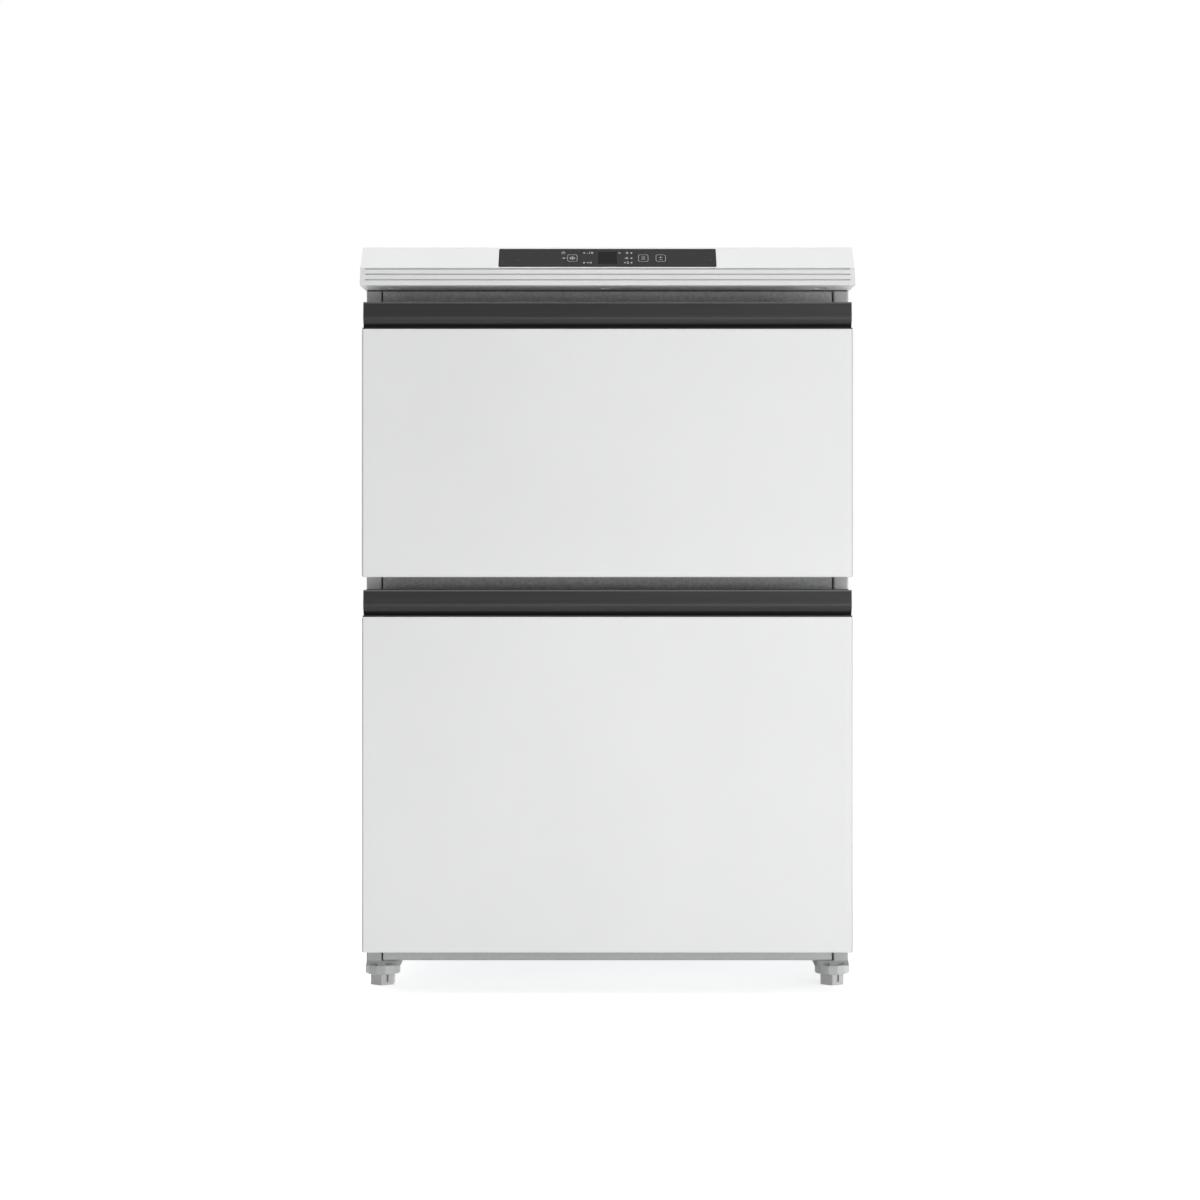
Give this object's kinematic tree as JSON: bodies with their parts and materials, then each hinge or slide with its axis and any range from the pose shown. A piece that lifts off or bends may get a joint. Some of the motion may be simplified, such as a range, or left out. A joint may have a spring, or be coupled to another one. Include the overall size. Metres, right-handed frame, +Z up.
{
  "type": "drawer freezer",
  "caption": "Free-standing under-counter freezer with two pull-out drawers on telescopic rails, trough handles, a sloped control strip and screw feet.",
  "frame": {"origin": "middle of the box round the freezer, on the floor that its feet stand on", "axes": "+Z up, -Y out of the drawer fronts, +X to the right as seen from the front"},
  "size_m": [0.5618, 0.585, 0.85],
  "materials": {
    "white_paint": "satin",
    "zinc_sheet": "satin",
    "frame_grey": "satin",
    "cap_white": "satin",
    "control_dark": "gloss",
    "display_glass": "gloss",
    "board_green": "satin",
    "handle_charcoal": "satin",
    "liner_white": "satin",
    "bin_clear": "gloss",
    "gasket_grey": "matte",
    "foam": "matte",
    "foot_grey": "satin",
    "black_plastic": "satin",
    "black_paint": "satin",
    "mount_rubber": "matte",
    "bare_steel": "satin",
    "cooling_plate": "satin",
    "copper": "satin"
  },
  "bodies": {
    "cabinet": {"left_side_panel": "frame_grey", "right_side_panel": "frame_grey", "rear_panel": "zinc_sheet", "top_plate": "zinc_sheet", "base_plate": "zinc_sheet", "compressor_bay_wall": "zinc_sheet", "rear_cover": "zinc_sheet", "rear_cover_screws": "bare_steel", "mains_inlet": "black_plastic", "wall_spacers": "foot_grey", "top_rail": "frame_grey", "middle_rail": "frame_grey", "bottom_rail": "frame_grey", "upper_liner": "liner_white", "lower_liner": "liner_white", "cabinet_insulation": "foam", "evaporator_plates": "cooling_plate", "compressor": "black_paint", "compressor_mounts": "mount_rubber", "filter_drier": "copper", "condenser_coil": "black_paint", "condenser_wires": "black_paint", "condenser_clips": "foot_grey", "top_cap": "cap_white", "cap_soffit": "cap_white", "cap_screws": "bare_steel", "control_panel": "control_dark", "display_window": "display_glass", "control_board": "board_green", "front_foot_brackets": "foot_grey", "rear_roller_brackets": "zinc_sheet", "rear_roller_axles": "bare_steel", "upper_outer_rails": "zinc_sheet", "lower_outer_rails": "zinc_sheet"},
    "upper_drawer": {"upper_front_panel": "white_paint", "upper_front_core": "foam", "upper_front_liner": "liner_white", "upper_gasket": "gasket_grey", "upper_handle": "handle_charcoal", "upper_handle_end_caps": "handle_charcoal", "upper_inner_rails": "zinc_sheet", "upper_bin_brackets": "zinc_sheet", "upper_bin": "bin_clear"},
    "upper_rail_carriage": {"upper_middle_rails": "zinc_sheet"},
    "lower_drawer": {"lower_front_panel": "white_paint", "lower_front_core": "foam", "lower_front_liner": "liner_white", "lower_gasket": "gasket_grey", "lower_handle": "handle_charcoal", "lower_handle_end_caps": "handle_charcoal", "lower_inner_rails": "zinc_sheet", "lower_bin_brackets": "zinc_sheet", "lower_bin": "bin_clear"},
    "lower_rail_carriage": {"lower_middle_rails": "zinc_sheet"},
    "left_foot_screw": {"left_foot_stud": "bare_steel"},
    "left_foot_knob": {"left_foot": "foot_grey"},
    "right_foot_screw": {"right_foot_stud": "bare_steel"},
    "right_foot_knob": {"right_foot": "foot_grey"},
    "left_rear_roller": {"left_rear_roller": "black_plastic"},
    "right_rear_roller": {"right_rear_roller": "black_plastic"}
  },
  "joints": [
    {"name": "upper_drawer_slide", "type": "slide", "parent": "cabinet", "child": "upper_drawer", "axis": [0, -1, 0], "range_m": [0, 0.4]},
    {"name": "upper_rail_slide", "type": "slide", "parent": "cabinet", "child": "upper_rail_carriage", "axis": [0, -1, 0], "range_m": [0, 0.2]},
    {"name": "lower_drawer_slide", "type": "slide", "parent": "cabinet", "child": "lower_drawer", "axis": [0, -1, 0], "range_m": [0, 0.4]},
    {"name": "lower_rail_slide", "type": "slide", "parent": "cabinet", "child": "lower_rail_carriage", "axis": [0, -1, 0], "range_m": [0, 0.2]},
    {"name": "left_foot_height", "type": "slide", "parent": "cabinet", "child": "left_foot_screw", "axis": [0, 0, -1], "range_m": [0, 0.01201]},
    {"name": "left_foot_turn", "type": "hinge", "parent": "left_foot_screw", "child": "left_foot_knob", "pos_m": [-0.261, -0.2025, 0.012], "axis": [0, 0, 1], "range_deg": [0, 2880]},
    {"name": "right_foot_height", "type": "slide", "parent": "cabinet", "child": "right_foot_screw", "axis": [0, 0, -1], "range_m": [0, 0.01201]},
    {"name": "right_foot_turn", "type": "hinge", "parent": "right_foot_screw", "child": "right_foot_knob", "pos_m": [0.261, -0.2025, 0.012], "axis": [0, 0, 1], "range_deg": [0, 2880]},
    {"name": "left_roller_spin", "type": "hinge", "parent": "cabinet", "child": "left_rear_roller", "pos_m": [-0.235, 0.235, 0.014], "axis": [1, 0, 0], "continuous": true},
    {"name": "right_roller_spin", "type": "hinge", "parent": "cabinet", "child": "right_rear_roller", "pos_m": [0.235, 0.235, 0.014], "axis": [1, 0, 0], "continuous": true}
  ],
  "couplings": [
    {"joint": "upper_rail_slide", "follows": "upper_drawer_slide", "ratio": 0.5},
    {"joint": "lower_rail_slide", "follows": "lower_drawer_slide", "ratio": 0.5},
    {"joint": "left_foot_height", "follows": "left_foot_turn", "m_per_rad": 0.00023873},
    {"joint": "right_foot_height", "follows": "right_foot_turn", "m_per_rad": 0.00023873}
  ]
}
